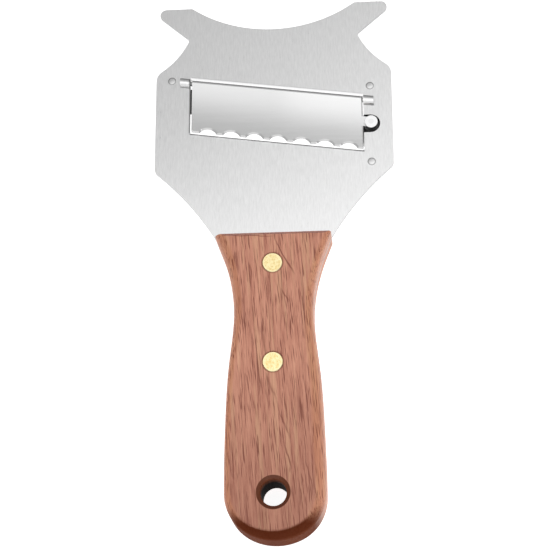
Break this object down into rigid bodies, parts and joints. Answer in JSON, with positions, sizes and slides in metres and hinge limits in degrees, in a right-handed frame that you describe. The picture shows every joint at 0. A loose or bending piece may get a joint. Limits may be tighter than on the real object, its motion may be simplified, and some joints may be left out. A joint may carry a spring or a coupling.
{
  "type": "adjustable hand slicer",
  "caption": "Hand slicer for cheese, chocolate or truffle: a horned steel plate with a hinged scalloped blade, a rear thickness screw and a riveted wood handle.",
  "frame": {"origin": "on the resting plane, under the middle of the whole", "axes": "+Z out of the plate's front, +Y from the handle towards the horns, +X towards the adjusting screw's side"},
  "size_m": [0.095, 0.2208, 0.0181],
  "materials": {
    "plate_steel": "brushed along the handle",
    "blade_steel": "polished",
    "small_steel": "satin",
    "disc_steel": "polished",
    "knob_steel": "turned and knurled",
    "spring_steel": "oil-blackened wire",
    "washer_black": "black nylon",
    "bridge_steel": "blackened",
    "rivet_brass": "brushed flush with the wood",
    "handle_wood": "oiled reddish hardwood"
  },
  "bodies": {
    "body": {"slicer_plate": "plate_steel", "handle": "handle_wood", "hinge_keeper": "bridge_steel", "adjuster_bridge": "bridge_steel", "threaded_bush": "bridge_steel", "adjuster_spring": "spring_steel", "keeper_rivet": "small_steel", "bridge_rivet_upper": "small_steel", "bridge_rivet_lower": "small_steel", "upper_rivet_front": "rivet_brass", "upper_rivet_back": "rivet_brass", "lower_rivet_front": "rivet_brass", "lower_rivet_back": "rivet_brass"},
    "blade": {"serrated_blade": "blade_steel", "hinge_pin": "small_steel"},
    "screw_carriage": {"thrust_washer": "washer_black"},
    "knob": {"adjusting_knob": "knob_steel", "adjusting_screw": "small_steel", "retaining_disc": "disc_steel"}
  },
  "joints": [
    {"name": "screw_travel", "type": "slide", "parent": "body", "child": "screw_carriage", "axis": [0, 0, 1], "range_m": [-0.00054, 0.00068], "deforming": ["adjuster_spring"]},
    {"name": "knob_turn", "type": "hinge", "parent": "screw_carriage", "child": "knob", "pos_m": [0.0389, 0.0557, 0.00225], "axis": [0, 0, 1], "range_deg": [-280, 350]},
    {"name": "blade_tilt", "type": "hinge", "parent": "body", "child": "blade", "pos_m": [0.00122, 0.07121, 0.00945], "axis": [-0.9898, 0.1426, 0], "range_deg": [-3.13, 3.91]}
  ],
  "couplings": [
    {"joint": "knob_turn", "follows": "screw_travel", "rad_per_m": 8976},
    {"joint": "blade_tilt", "follows": "screw_travel", "rad_per_m": 100.24}
  ]
}
